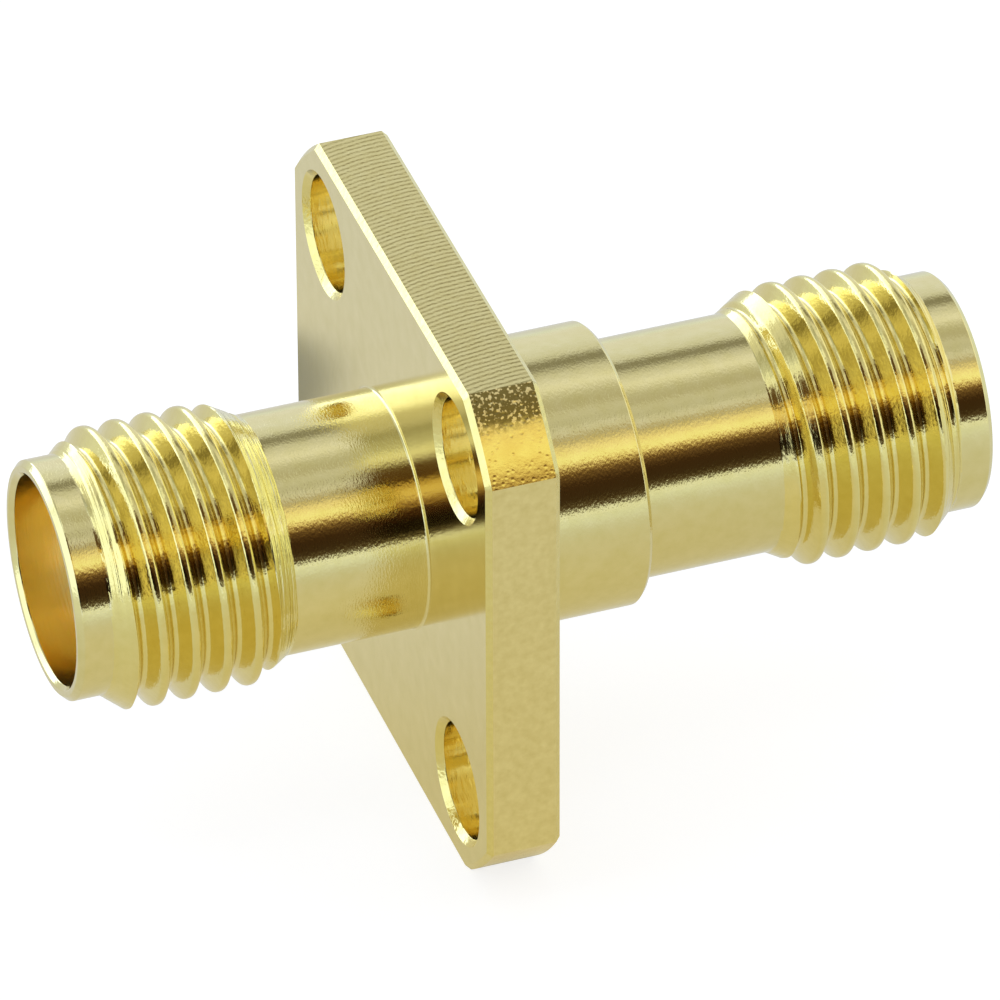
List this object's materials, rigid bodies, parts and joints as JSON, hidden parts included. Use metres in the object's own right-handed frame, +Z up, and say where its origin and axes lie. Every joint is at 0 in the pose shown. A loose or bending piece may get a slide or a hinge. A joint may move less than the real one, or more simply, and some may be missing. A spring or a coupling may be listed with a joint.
{
  "type": "coaxial panel adapter",
  "caption": "Gold-plated straight coaxial jack-to-jack panel adapter with a square flange, screw holes at its corners and a round boss behind.",
  "frame": {"origin": "centre of the flange's front face, on the axis of both jacks", "axes": "+X along the axis from the front jack to the rear jack, flange in the YZ plane, +Z up"},
  "size_m": [0.0209, 0.0126, 0.0126],
  "materials": {
    "gold_plated_body": "bright gold plating on turned and milled brass",
    "gold_plated_jack": "bright gold plating on turned brass",
    "white_dielectric": "turned white PTFE",
    "gold_plated_contact": "gold plating on turned beryllium copper"
  },
  "bodies": {
    "root": {"flanged_body": "gold_plated_body", "pressed_jack": "gold_plated_jack", "front_insulator": "white_dielectric", "rear_insulator": "white_dielectric", "centre_contact": "gold_plated_contact"}
  },
  "joints": []
}
